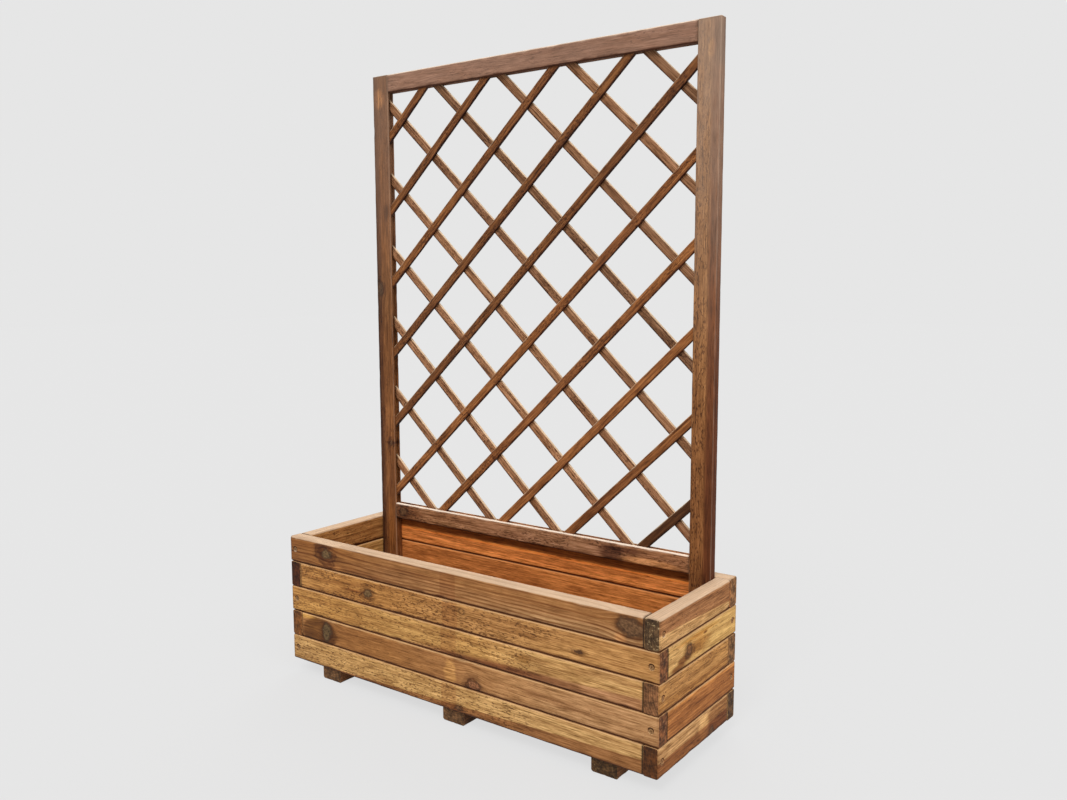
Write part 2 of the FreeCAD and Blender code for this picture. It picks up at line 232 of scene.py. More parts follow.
def softwoodGroup():
    # growth rings: the fraction of (distance from the heart line / ring step), sharp on its outer
    # side; streaks, fibres and flecks: noise drawn out along the grain
    tree, w, s, end = nodeGroup("softwood", {
        "Grain": (0, 0, 0), "Flat grain": (0, 0, 0), "Seed": 0, "Heart line": (0, 0, 0.05),
        "Ring step": 0.004, "Ring depth": 0.5, "Sap": (0.5, 0.3, 0.1, 1),
        "Heartwood": (0.3, 0.15, 0.05, 1), "Split": -1, "Split slope": 0, "Split side": 1,
        "Split blend": 0.002, "Blotch": 0.5, "Contrast": 1, "Flecks": 0.5, "Lines": 0.4, "Flecks to": 10,
        "Flecks up to": 10, "Fleck spread": 0,
    }, {"Colour": "Color", "Height": "Float", "Late wood": "Float", "Fibre": "Float"})
    shift = w.merge(w.times(s["Seed"], 1.7), w.times(s["Seed"], 0.31), 0)
    grain = w.vector("ADD", s["Grain"], shift)
    u, v, _ = w.split(s["Flat grain"])

    # the grain bends slowly, then rings are counted from the heart line
    noise = {name: w.noise(grain, *row) for name, row in softwoodNoise.items()}
    bendA, bendB = (w.timesPlus(noise[name], 0.016, -0.008) for name in ("bendA", "bendB"))
    fromHeart = w.vector("ADD", w.vector("SUBTRACT", s["Grain"], s["Heart line"]), w.merge(0, bendA, bendB))
    radius = w.vector("LENGTH", w.scaled(fromHeart, 0, 1, 1))
    rings = w.timesPlus(noise["ripple"], 0.6, w.math("DIVIDE", radius, s["Ring step"]))
    phase = w.math("FRACT", rings)
    lateWood = w.times(w.step(phase, 0.3, 0.82), w.step(phase, 0.9, 1.0, 1, 0))
    ringShare = w.put("ShaderNodeTexWhiteNoise", {"W": w.math("FLOOR", rings)}, noise_dimensions="1D").outputs[0]
    lateWood = w.times(lateWood, w.timesPlus(ringShare, 0.75, 0.25))

    # streaks a few millimetres wide, finer fibres, mottling and dark flecks in clusters
    streak, fibre, mottle = noise["streak"], noise["fibre"], noise["mottle"]
    darkLine = w.step(noise["darkLine"], 0.53, 0.6)
    fleckField = w.step(w.plus(noise["fleckField"], s["Fleck spread"]), 0.36, 0.6)
    fleckEdge = w.timesPlus(s["Flecks"], -0.15, 0.66)
    fleck = w.times(w.step(w.minus(noise["fleck"], fleckEdge), 0.0, 0.06), fleckField)
    fleck = w.times(fleck, w.times(s["Flecks"], 3, clamp=True))
    fleck = w.times(fleck, w.step(w.minus(u, s["Flecks to"]), -0.08, 0.02, 1, 0))
    fleck = w.times(fleck, w.step(w.minus(v, s["Flecks up to"]), -0.006, 0.004, 1, 0))

    # sapwood or heartwood on one side of a sloping, wandering line, and in clouds
    wander = w.noise(w.merge(w.plus(u, s["Seed"]), 0, 0), (5, 0, 0), 3)
    line = w.timesPlus(wander, 0.005, w.plus(s["Split"], -0.0025))
    line = w.timesPlus(u, s["Split slope"], line)
    side = w.times(w.minus(v, line), s["Split side"])
    heartShare = w.math("DIVIDE", side, s["Split blend"], clamp=True)
    colour = w.mix(heartShare, s["Sap"], s["Heartwood"])
    colour = w.mix(w.times(w.step(noise["cloud"], 0.36, 0.7), s["Blotch"]), colour, s["Heartwood"])
    colour = w.mix(w.times(lateWood, s["Ring depth"]), colour, w.tint(colour, shades["lateWood"]))
    colour = w.mix(w.times(darkLine, s["Lines"]), colour, w.tint(colour, shades["line"]))
    wave = w.plus(w.times(w.minus(streak, 0.5), 1.7), w.times(w.minus(mottle, 0.5), 1.1))
    wave = w.timesPlus(w.minus(fibre, 0.5), 2.2, wave)
    wave = w.math("MAXIMUM", w.timesPlus(wave, s["Contrast"], 1), 0.15)
    colour = w.tint(colour, w.merge(w.math("POWER", wave, 0.85), wave, w.math("POWER", wave, 1.25)))
    colour = w.mix(w.times(fleck, 0.78), colour, w.tint(colour, shades["fleck"]))
    height = w.timesPlus(lateWood, 0.3, w.times(fibre, 0.6))
    height = w.timesPlus(streak, 0.4, w.timesPlus(fleck, -0.6, height))
    w.fill(end, {"Colour": colour, "Height": height, "Late wood": lateWood, "Fibre": fibre})
    return tree


def finishGroup():
    # what the place on the piece does: shaded long edges, weathering along it, arrises paler from rubbing and a
    # painted highlight, painted light on tops, painted shade on undersides and in covered seams, end grain and a
    # painted shade line in the gap where one piece butts on the next
    tree, w, s, end = nodeGroup("finish", {
        "Colour": (0, 0, 0, 1), "Height": 0, "Late wood": 0, "Fibre": 0.5, "Grain": (0, 0, 0),
        "Marks": (1, 0, 0), "Across": 0, "Tone": 0, "Weather": 0, "Weather from": -10, "Weather to": -9,
        "Weather tone": (0.3, 0.22, 0.17, 1), "Rub": 0.2, "Top tone": (0.74, 0.54, 0.35, 1),
        "Top fade": 0.6, "Covered": 0, "Under": 0.9, "End tone": (0.08, 0.045, 0.02, 1), "End spots": 0.4,
        "Butt": 0, "Edge shade": 0, "Edge from": 0.005,
    }, {"Colour": "Color", "Height": "Float", "Roughness": "Float"})
    u = w.split(s["Grain"])[0]
    endDistance, cap, corner = w.split(s["Marks"])
    noise = {name: w.noise(s["Grain"], *row) for name, row in finishNoise.items()}
    patch, spots, broad = noise["patch"], noise["endSpots"], noise["endBroad"]
    colour = w.shade(s["Colour"], w.timesPlus(s["Tone"], 0.22, 1))

    edge = w.step(s["Across"], s["Edge from"], w.plus(s["Edge from"], 0.004))
    edge = w.times(w.times(edge, s["Edge shade"]), w.step(patch, 0.25, 0.6, 0.5, 1.2))
    colour = w.mix(edge, colour, w.tint(colour, shades["edge"]))
    weather = w.times(w.step(u, s["Weather from"], s["Weather to"]), s["Weather"])
    weather = w.times(weather, w.step(patch, 0.2, 0.62, 0.45, 1.1))
    colour = w.mix(weather, colour, w.shade(s["Weather tone"], w.timesPlus(s["Fibre"], 0.9, 0.55)))

    upward = w.split(w.put("ShaderNodeNewGeometry").outputs["Normal"])[2]
    # arrises paler from rubbing and also from a painted highlight leaning toward the painted top light; none where
    # they look down
    rubbedHighlight = w.times(w.step(corner, 0.35, 0.95), w.step(patch, 0.3, 0.6, 0.4, 1))
    rubbedHighlight = w.times(rubbedHighlight, w.times(s["Rub"], w.step(upward, -0.3, 0.1)))
    # painted light from above: faces that look up take a pale top tone
    topTone = w.shade(s["Top tone"], w.timesPlus(s["Fibre"], 0.5, w.timesPlus(patch, 0.5, 0.5)))
    topTone = w.mix(w.times(s["Late wood"], 0.25), topTone, colour)
    colour = w.mix(rubbedHighlight, colour, w.mix(0.5, topTone, colour))
    paintedTopAmount = w.times(w.step(upward, 0.05, 0.5), s["Top fade"])
    colour = w.mix(w.times(paintedTopAmount, w.step(patch, 0.18, 0.42, 0.65, 1)), colour, topTone)
    # painted shade on faces that look down, such as each board's lower arris over the seam
    under = w.times(w.step(upward, -0.3, -0.02, 1, 0), s["Under"])
    colour = w.mix(under, colour, w.tint(colour, shades["under"]))
    # painted shade in the crevice where the next course covers a board's top
    crevice = w.times(w.step(upward, 0.5, 0.88), s["Covered"])
    colour = w.mix(crevice, colour, washes["crevice"])

    varied = w.timesPlus(spots, 3.6, w.timesPlus(broad, 3.6, -2.6))
    endTone = w.shade(s["End tone"], w.math("MAXIMUM", varied, 0.35))
    endTone = w.mix(w.times(s["Late wood"], 0.5), endTone, washes["gap"])
    endTone = w.mix(w.times(w.step(spots, 0.57, 0.63), s["End spots"]), endTone, washes["endSpot"])
    nearEnd = w.step(endDistance, 0.0005, 0.006, 0.35, 0)
    colour = w.mix(w.math("MAXIMUM", cap, nearEnd), colour, endTone)
    # painted shade: a near-black line in the gap at the butting end, weaker on faces that look up
    buttSide = w.times(w.math("SIGN", u), s["Butt"])
    buttGapShade = w.times(buttSide, w.step(endDistance, 0.001, 0.0035, 0.9, 0), clamp=True)
    buttGapShade = w.times(buttGapShade, w.step(upward, 0.1, 0.8, 1, 0.3))
    colour = w.mix(buttGapShade, colour, washes["gap"])

    height = w.timesPlus(w.times(spots, cap), 1.4, s["Height"])
    w.fill(end, {"Colour": colour, "Height": height, "Roughness": w.timesPlus(s["Fibre"], 0.22, 0.6)})
    return tree


knotBendTree, knotTree, smudgeTree = knotBendGroup(), knotGroup(), smudgeGroup()
softwoodTree, finishTree = softwoodGroup(), finishGroup()
knotGreen, knotBrown = (112, 88, 56), (104, 72, 46)


def knot(along, across, radius, stretch=1.3, surround=2.4, shade=0.6, heart=knotBrown):
    # a knot's row as sockets: places are from the board's middle, the surround is in radii
    return {
        "Place": (along, across, 0), "Radius": radius, "Stretch": stretch, "Surround": surround,
        "Shade": shade, "Heart": paint(*heart),
    }


def smudge(along, across, reachAlong, reachAcross, tone, border=0.4, ragged=0.8, depth=(0, 1)):
    # a smudge's row as sockets: depth is its place and reach through the board
    return {
        "Place": (along, across, depth[0]), "Reach": (reachAlong, reachAcross, depth[1]),
        "Tone": tone + (1,), "Border": border, "Ragged": ragged,
    }


def fromLook(tree, look):
    # the look's values for the group's sockets: "Ring step" takes ringStep, and colours are painted
    taken = {}
    for item in tree.interface.items_tree:
        first, *rest = item.name.split()
        key = first.lower() + "".join(word.capitalize() for word in rest)
        if item.in_out == "INPUT" and key in look:
            taken[item.name] = paint(*look[key]) if item.socket_type == "NodeSocketColor" else look[key]
    return taken


def emptied(holder):
    # the wiring of a material or a world, with no nodes yet
    holder.use_nodes = True
    holder.node_tree.nodes.clear()
    return Wiring(holder.node_tree)


def woodMaterial(name, look):
    # grain bent round the knots, then softwood, smudges, knots and finish
    material = bpy.data.materials.new(name)
    w = emptied(material)
    named = {}
    for attribute in ("grain", "marks", "tone", "across"):
        named[attribute] = w.put("ShaderNodeAttribute", attribute_name=attribute).outputs
    grain = bent = named["grain"]["Vector"]
    knots = [knot(*row) for row in look["knots"]]
    for one in knots:
        bend = {key: one[key] for key in ("Place", "Radius", "Stretch")}
        bent = w.use(knotBendTree, {"Grain": bent, **bend})["Grain"]
    wood = w.use(softwoodTree, {**fromLook(softwoodTree, look), "Grain": bent, "Flat grain": grain})
    colour, height = wood["Colour"], wood["Height"]
    for row in look["smudges"]:
        colour = w.use(smudgeTree, {"Colour": colour, "Grain": grain, **smudge(*row)})["Colour"]
    for one in knots:
        done = w.use(knotTree, {"Colour": colour, "Height": height, "Grain": grain, **one})
        colour, height = done["Colour"], done["Height"]
    done = w.use(finishTree, {
        **fromLook(finishTree, look), "Colour": colour, "Height": height, "Late wood": wood["Late wood"],
        "Fibre": wood["Fibre"], "Grain": grain, "Marks": named["marks"]["Vector"],
        "Tone": named["tone"]["Fac"], "Across": named["across"]["Fac"],
    })
    relief = {"Height": done["Height"], "Strength": look["bump"], "Distance": 0.0008}
    surface = w.put("ShaderNodeBsdfPrincipled", {
        "Base Color": done["Colour"], "Roughness": done["Roughness"], "Specular IOR Level": 0.2,
        "Normal": w.put("ShaderNodeBump", relief).outputs[0],
    })
    w.put("ShaderNodeOutputMaterial", {0: surface.outputs[0]})
    return material


def stations(low, high, pitch, fine=()):
    # evenly spaced places from low to high, with a fine pitch round each (middle, reach, pitch)
    closest = 0.0002
    count = max(2, int(round((high - low) / pitch)) + 1)
    places = list(np.linspace(low, high, count))
    for middle, reach, finePitch in fine:
        places += list(np.arange(middle - reach, middle + reach + finePitch / 2, finePitch))
    places = np.unique(np.round(np.clip(places, low, high), 6))
    return places[np.concatenate(([True], np.diff(places) > closest))]


sliver, clearance = 0.00001, 0.0003  # width of a notch's upright sides, and room beside them
screwSeat = {"reach": 0.0085, "pitch": 0.0012, "radius": 0.0048, "slope": 0.0014, "depth": 0.0028}
waviness = {"dip": 0.11, "arris": 0.04, "nick": 0.05, "nickShare": 0.12, "nickFrom": 7.2}


# the four sides of an outline: the way the walk goes along each, and its outward normal
ways = np.array(((1, 0), (0, 1), (-1, 0), (0, -1)), float)
outs = np.array(((0, -1), (1, 0), (0, 1), (-1, 0)), float)
arcSteps = 5


def outline(height, thickness, radius, pitch, fine, notch=None):
    # a rounded rectangle, walked side by side: each point has its place, outward normal, a share of
    # the corner (1 on the arc, 0 on a flat) and a share of the notch that it belongs to
    places, normals, corners, notches = [], [], [], []
    halfH, halfT = height / 2, thickness / 2
    for number, (way, out) in enumerate(zip(ways, outs)):
        reach, away = (halfH, halfT) if number % 2 == 0 else (halfT, halfH)
        spots = stations(-reach + radius, reach - radius, pitch, fine.get(number, ()))
        marks = [(spot, 0.0) for spot in spots]
        if notch and notch["side"] == number:
            low, high = notch["low"], notch["high"]
            marks = [(spot, 0.0) for spot in spots if spot < low - clearance]
            marks += [(low, 0.0), (low + sliver, 1.0), ((low + high) / 2, 1.0), (high - sliver, 1.0), (high, 0.0)]
            marks += [(spot, 0.0) for spot in spots if spot > high + clearance]
        for spot, inNotch in marks:
            places.append(way * spot + out * away)
            normals.append(out)
            corners.append(0.0)
            notches.append(inNotch)
        for arcStep in range(1, arcSteps):
            angle = math.pi / 2 * arcStep / arcSteps
            normal = out * math.cos(angle) + way * math.sin(angle)
            places.append(way * (reach - radius) + out * (away - radius) + normal * radius)
            normals.append(normal)
            corners.append(math.sin(2 * angle))
            notches.append(0.0)
    return np.array(places), np.array(normals), np.array(corners), np.array(notches)


def wavy(along, around, seed, pitch, waves=7):
    # a sum of sines with drawn ways and phases, squeezed to 0..1, over two coordinates
    draw = np.random.default_rng(seed)
    total = np.zeros(np.broadcast(along, around).shape)
    for _ in range(waves):
        angle, phase = draw.uniform(-0.9, 0.9), draw.uniform(0, 2 * math.pi)
        size = draw.uniform(0.6, 1.8) * 2 * math.pi / pitch
        total = total + np.sin(size * (along * math.cos(angle) + around * 2.5 * math.sin(angle)) + phase)
    return 0.5 + 0.5 * np.tanh(total / math.sqrt(waves))


def timber(name, look, length, height, thickness, place, slopes=(0, 0), dents=(), notch=None):
    # the outline carried along the length: every ring is the outline drawn in by wear, screw dents
    # and the notch, the end rings follow a quarter round, and the caps shrink to a middle point
    seed, endRound = look["seed"], look["endRound"]
    fineSide = {}
    fineAlong = []
    for side, along, across in dents:
        fineSide.setdefault(side, []).append((across, screwSeat["reach"], screwSeat["pitch"]))
        fineAlong.append((along, screwSeat["reach"], screwSeat["pitch"]))
    points, normals, corners, notches = outline(height, thickness, look["radius"], look["pitch"], fineSide, notch)
    rings = stations(-length / 2 + endRound, length / 2 - endRound, look["pitch"] * 1.6, fineAlong)
    if notch and "reach" in notch:
        for edge in notch["reach"]:
            rings = np.append(rings, [edge - sliver, edge + sliver])
        rings = np.unique(rings)
    quarter = np.radians([0, 30, 60])
    startRings = -length / 2 + endRound * (1 - np.cos(quarter))
    startDraw = endRound * (1 - np.sin(quarter))
    along = np.concatenate((startRings, rings, -startRings[::-1]))
    draw = np.concatenate((startDraw, np.zeros(len(rings)), startDraw[::-1]))

    u = along[:, None] + 0 * points[None, :, 0]
    around = np.cumsum(np.linalg.norm(np.diff(points, axis=0, prepend=points[-1:]), axis=1))
    inward = look["wear"] * (0.15 + wavy(u, around[None, :], seed, waviness["dip"]))
    inward = inward + corners[None, :] * look["edgeWear"] * wavy(u, around[None, :], seed + 50, waviness["arris"])
    nicks = wavy(u, around[None, :], seed + 80, waviness["nick"]) / waviness["nickShare"] - waviness["nickFrom"]
    inward = inward + corners[None, :] * look["nicks"] * np.clip(nicks, 0, 1)
    inward = inward + draw[:, None]
    for side, dentAlong, dentAcross in dents:
        onSide = (normals @ outs[side] > 0.99) & (corners == 0)
        reach = np.hypot(u - dentAlong, (points @ ways[side])[None, :] - dentAcross)
        rise = np.clip((reach - screwSeat["radius"]) / screwSeat["slope"], 0, 1) ** 0.5
        inward = inward + np.where(onSide[None, :], screwSeat["depth"] * (1 - rise), 0)
    if notch:
        low, high = notch.get("reach", (-length, length))
        inside = (u > low) & (u < high)
        inward = inward + np.where(inside, notches[None, :] * notch["depth"], 0)

    v = points[None, :, 0] - inward * normals[None, :, 0]
    depth = points[None, :, 1] - inward * normals[None, :, 1]
    share = (u + length / 2) / length
    u = u + (1 - share) * slopes[0] * v + share * slopes[1] * v

    count = points.shape[0]
    ringCount = len(along)
    grid = np.stack((u, v, depth), axis=-1)
    capLoops = []
    shrinks = (0.92, 0.6, 0.3)
    for ring in (0, ringCount - 1):
        middle = grid[ring].mean(axis=0)
        capLoops += [middle + (grid[ring] - middle) * shrink for shrink in shrinks] + [middle[None, :]]
    local = np.concatenate([grid.reshape(-1, 3)] + capLoops)
    slots = np.arange(count)
    after = (slots + 1) % count
    rows = np.arange(ringCount - 1)[:, None] * count
    quads = np.stack((rows + slots, rows + after, rows + count + after, rows + count + slots), axis=-1)
    faces = quads.reshape(-1, 4).tolist()
    base = ringCount * count
    for end, ring in enumerate((0, ringCount - 1)):
        loops = [ring * count + slots] + [base + number * count + slots for number in range(len(shrinks))]
        for outer, inner in zip(loops[:-1], loops[1:]):
            quads = np.stack((outer, inner, np.roll(inner, -1), np.roll(outer, -1)), axis=-1)
            faces += (quads if end == 0 else quads[:, ::-1]).tolist()
        middle = base + len(shrinks) * count
        fan = np.stack((loops[-1], np.full(count, middle), np.roll(loops[-1], -1)), axis=-1)
        faces += (fan if end == 0 else fan[:, ::-1]).tolist()
        base = middle + 1

    capShare = np.zeros(len(local))
    capShare[:count] = 1
    capShare[(ringCount - 1) * count:] = 1
    endDistance = length / 2 - np.abs(np.clip(local[:, 0], -length / 2, length / 2))
    cornerShare = np.zeros(len(local))
    cornerShare[:grid.shape[0] * count] = np.tile(corners, grid.shape[0])
    marks = np.stack((endDistance, capShare, cornerShare), axis=-1)
    mesh = bpy.data.meshes.new(name)
    mesh.from_pydata(place(local).tolist(), [], faces)
    volume = sum(p.area * p.normal.dot(p.center) for p in mesh.polygons)
    if volume < 0:
        mesh.flip_normals()
    for label, values in (("grain", local), ("marks", marks)):
        attribute = mesh.attributes.new(label, "FLOAT_VECTOR", "POINT")
        attribute.data.foreach_set("vector", values.astype(np.float32).ravel())
    for label, values in (("tone", np.full(len(local), look["tone"])), ("across", np.abs(local[:, 1]))):
        attribute = mesh.attributes.new(label, "FLOAT", "POINT")
        attribute.data.foreach_set("value", values.astype(np.float32))
    mesh.shade_smooth()
    sharpFrom = 50
    mesh.set_sharp_from_angle(angle=math.radians(sharpFrom))
    piece = bpy.data.objects.new(name, mesh)
    bpy.context.scene.collection.objects.link(piece)
    return piece


def alongAxes(node, axes):
    # sizes of a node's box in (along, across, through), and the map from those to the world
    low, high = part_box(node)
    low, high = np.array(low), np.array(high)
    axes = list(axes)

    def place(local):
        # each local axis becomes its world axis, and the box's middle is added
        world = np.zeros_like(local)
        world[:, axes] = local
        return world + (high + low) / 2

    return (high - low)[axes], place


def dress(piece, node, material):
    # hands a finished piece to the frame in place of its node
    piece.data.materials.append(material)
    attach(piece, "root")
    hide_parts(node)


def fitTimber(node, name, wood, look, axes, notch=None):
    # a timber the size of its node, dressed in a wood of its own
    sizes, place = alongAxes(node, axes)
    dress(timber(name, look, *sizes, place, notch=notch), node, woodMaterial(wood, look))


gold, amber, umber = (188, 140, 78), (178, 124, 68), (146, 97, 54)
darkEnd, redEnd = (92, 62, 36), (126, 76, 42)

# a look also sets painted light for faces that look up, and painted shade for faces that look down and for seams that
# the next course covers
boardLook = {
    "radius": 0.004, "pitch": 0.006, "wear": 0.00015, "edgeWear": 0.0004, "nicks": 0.0012, "endRound": 0.0015,
    "heartLine": (0, 0.004, 0.07), "ringStep": 0.0055, "ringDepth": 0.55, "sap": gold, "heartwood": umber,
    "split": 1.0, "splitSlope": 0.0, "splitSide": 1.0, "splitBlend": 0.002, "blotch": 0.4, "contrast": 1.1,
    "flecks": 0.4, "flecksTo": 10.0, "flecksUpTo": 10.0, "fleckSpread": 0.0, "lines": 0.35, "edgeShade": 0.0,
    "edgeFrom": 0.005, "covered": 0.0, "knots": (), "smudges": (), "tone": 0.0, "rub": 0.15,
    "topTone": (212, 168, 118), "topFade": 0.8, "under": 0.95, "endTone": darkEnd, "endSpots": 0.25,
    "bump": 0.6, "weather": 0.0, "weatherFrom": -10.0, "weatherTo": -9.0, "weatherTone": (168, 148, 128),
}
# places along and across each board are from its middle, in metres; a tone multiplies the colour
strapTone = (0.84, 0.76, 0.72)
strapMark = (0.012, 0, 0.021, 0.1, strapTone, 0.08, 0.15)
wholeBoard = 9
innerFace = (-0.018, 0.006)
# painted warm bounce light on the back boards' inner face
paintedInsideBounce = (0, 0, wholeBoard, wholeBoard, (1.4, 1.06, 0.85), 0.2, 0.1, innerFace)
boardDetails = {
    "front_board_1": {
        "sap": (174, 124, 76), "heartwood": (142, 94, 54), "blotch": 0.6, "flecks": 0.1, "ringStep": 0.0066,
        "ringDepth": 1.0, "heartLine": (0, -0.09, 0.04), "contrast": 0.7, "lines": 0.5,
        "knots": (
            (-0.356, 0.006, 0.0125, 1.3, 2.9, 1.1, knotGreen),
            (0.453, 0.004, 0.0185, 1.45, 1.7, 0.9, (108, 78, 52)),
        ),
        "smudges": (
            (-0.44, 0, 0.22, 0.2, (0.78, 0.68, 0.52), 0.5), (0.34, -0.024, 0.2, 0.014, (1.15, 1.3, 1.5), 0.6),
            (-0.335, -0.021, 0.03, 0.01, (1.4, 1.45, 1.5), 0.6), (0.43, -0.02, 0.012, 0.008, (1.7, 1.6, 1.5), 0.5),
            strapMark, (0, 0.018, 0.8, 0.016, (1.0, 0.96, 0.86), 0.5),
        ),
    },
    "front_board_2": {
        "sap": (186, 135, 78), "heartwood": (160, 108, 58), "blotch": 0.5, "flecks": 0.82, "flecksTo": 0.3,
        "fleckSpread": 0.08, "endTone": redEnd,
        "knots": (
            (-0.255, -0.002, 0.0095, 1.3, 2.4, 0.7, knotGreen), (0.018, 0.012, 0.005, 1.5, 2.0, 0.4, amber),
            (0.307, -0.008, 0.0035, 2.6, 3.0, 0.8, (70, 44, 26)),
        ),
        "smudges": (
            (-0.3, -0.004, 0.04, 0.0025, (0.55, 0.42, 0.32), 0.5), (-0.015, 0, 0.021, 0.1, strapTone, 0.08, 0.15),
            (-0.3, 0, 0.2, 0.1, (1.02, 0.97, 0.82), 0.8),
        ),
    },
    "front_board_3": {
        "sap": (194, 146, 82), "heartwood": (168, 116, 70), "blotch": 0.25, "flecks": 0.64, "flecksTo": 0.28,
        "fleckSpread": 0.08, "split": -0.018, "splitSlope": 0.032, "splitSide": -1.0, "splitBlend": 0.006,
        "knots": (),
        "smudges": (
            strapMark, (0.17, -0.026, 0.1, 0.014, (0.6, 0.48, 0.4), 0.6),
            (0.21, 0.008, 0.016, 0.01, (0.7, 0.62, 0.5), 0.5), (0.33, 0.0, 0.2, 0.1, (1.08, 1.14, 1.35), 0.6),
            (0.118, 0.006, 0.085, 0.03, (1.07, 1.06, 1.04), 0.06, 0.1),
            (-0.44, 0.0, 0.2, 0.1, (0.95, 0.88, 0.78), 0.6),
        ),
    },
    "front_board_4": {
        "sap": (178, 130, 86), "heartwood": (152, 102, 60), "blotch": 0.5, "flecks": 0.2, "endTone": redEnd,
        "contrast": 1.0,
        "knots": (
            (-0.395, -0.001, 0.0175, 0.85, 2.0, 0.7, (100, 79, 50)),
            (0.047, -0.021, 0.0125, 1.2, 2.4, 1.0, (150, 98, 64)),
        ),
        "smudges": (
            (-0.3, 0, 0.3, 0.2, (0.76, 0.64, 0.42), 0.7, 0.5), (0.35, 0, 0.25, 0.2, (1.15, 1.24, 1.28), 0.6),
            (-0.418, -0.008, 0.058, 0.034, (0.46, 0.4, 0.3), 0.12, 0.35),
            (-0.475, 0.028, 0.05, 0.01, (1.6, 1.9, 1.6), 0.3, 0.5),
            (-0.016, -0.006, 0.016, 0.024, (1.55, 1.7, 1.6), 0.3, 1.4),
            (0.08, 0, 0.14, 0.1, (0.98, 0.95, 0.87), 0.6),
        ),
    },
    "front_board_5": {
        "sap": (201, 157, 99), "heartwood": (150, 101, 58), "blotch": 0.15, "flecks": 0.66, "flecksTo": 0.26,
        "fleckSpread": 0.08, "lines": 0.25, "split": -0.014, "splitSlope": 0.03, "splitSide": -1.0,
        "splitBlend": 0.0015, "knots": ((0.04, -0.019, 0.005, 1.8, 2.6, 0.6),),
        "smudges": (
            strapMark, (0.08, -0.018, 0.14, 0.014, (0.93, 0.9, 0.86), 0.6),
            (-0.2, 0, 0.3, 0.1, (1.0, 0.98, 0.91), 0.6),
        ),
    },
    "right_board_1": {
        "sap": (222, 172, 110), "heartwood": (168, 113, 68), "blotch": 0.1, "flecks": 0.3, "split": -0.007,
        "splitSlope": -0.044, "splitBlend": 0.0015, "endSpots": 0.9, "endTone": (82, 60, 38), "knots": (),
    },
    "right_board_2": {
        "sap": (214, 166, 98), "heartwood": (186, 136, 78), "blotch": 0.3, "flecks": 0.3, "lines": 0.1,
        "contrast": 0.8, "knots": ((-0.06, 0.0, 0.01, 1.3, 2.0, 0.8, (136, 88, 50)),),
        "smudges": (
            (-0.082, -0.012, 0.024, 0.008, (0.4, 0.27, 0.18), 0.4, 1.0),
            (-0.104, -0.022, 0.026, 0.006, (0.5, 0.36, 0.24), 0.4, 1.0),
            (-0.02, 0.0, 0.04, 0.016, (0.85, 0.7, 0.5), 0.6, 1.0),
            (0.006, 0.014, 0.008, 0.003, (0.4, 0.3, 0.2), 0.5),
            (-0.112, 0.004, 0.034, 0.022, (1.15, 1.18, 1.3), 0.4), (0.1, 0, 0.1, 0.1, (1.18, 1.24, 1.24), 0.5),
            (-0.03, 0.018, 0.08, 0.004, (0.9, 0.75, 0.5), 0.6),
        ),
    },
    "right_board_3": {
        "sap": (190, 136, 76), "heartwood": (164, 110, 56), "blotch": 0.5, "flecks": 0.5, "endTone": (118, 78, 48),
        "smudges": (
            (0, -0.02, 0.3, 0.012, (0.86, 0.78, 0.66), 0.6), (0.08, 0.016, 0.09, 0.016, (1.12, 1.13, 1.1), 0.5),
        ),
        "endSpots": 0.1, "knots": (),
    },
    "right_board_4": {
        "sap": (180, 115, 58), "heartwood": (162, 100, 50), "blotch": 0.5, "flecks": 0.25, "knots": (),
        "smudges": ((0.02, 0.027, 0.15, 0.006, (1.5, 1.6, 1.6), 0.6),),
    },
    "right_board_5": {
        "sap": (206, 156, 100), "heartwood": (148, 94, 52), "blotch": 0.1, "flecks": 0.3, "split": 0.002,
        "splitSide": -1.0, "splitBlend": 0.003, "endTone": (79, 44, 18), "endSpots": 0.05,
        "knots": ((0.071, -0.021, 0.009, 1.2, 2.2, 0.7),),
        "smudges": (
            (0.038, 0.002, 0.022, 0.022, (1.4, 1.5, 1.5), 0.3), (0.11, 0.0, 0.055, 0.04, (0.62, 0.5, 0.4), 0.25),
            (-0.06, -0.016, 0.1, 0.016, (1.0, 0.94, 0.8), 0.5),
        ),
    },
    "left_board_2": {"endTone": (64, 30, 10), "endSpots": 0.05},
    "left_board_4": {"endTone": (112, 68, 30), "endSpots": 0.1},
    "back_board_1": {
        "endTone": (150, 104, 64), "knots": (), "flecks": 0.15, "lines": 0.15,
        "smudges": (
            # inner face: painted bounce light, a redder lower band, a painted shadow band under the rail and a painted
            # highlight line where an edge catches light
            paintedInsideBounce, (0, -0.014, wholeBoard, 0.022, (1.12, 0.94, 0.95), 0.2, 0.1, innerFace),
            (0, 0.019, wholeBoard, 0.011, (0.5, 0.36, 0.26), 0.35, 0.3, innerFace),
            (0, 0.0045, wholeBoard, 0.0028, (1.6, 1.45, 1.25), 0.4, 0.1, innerFace),
        ),
    },
    "back_board_2": {
        # painted light on its top and painted bounce light on its inner face
        "topTone": (226, 150, 90), "knots": (), "smudges": (paintedInsideBounce,), "flecks": 0.1, "lines": 0.15,
    },
    "back_board_3": {"endTone": (136, 94, 56)},
}
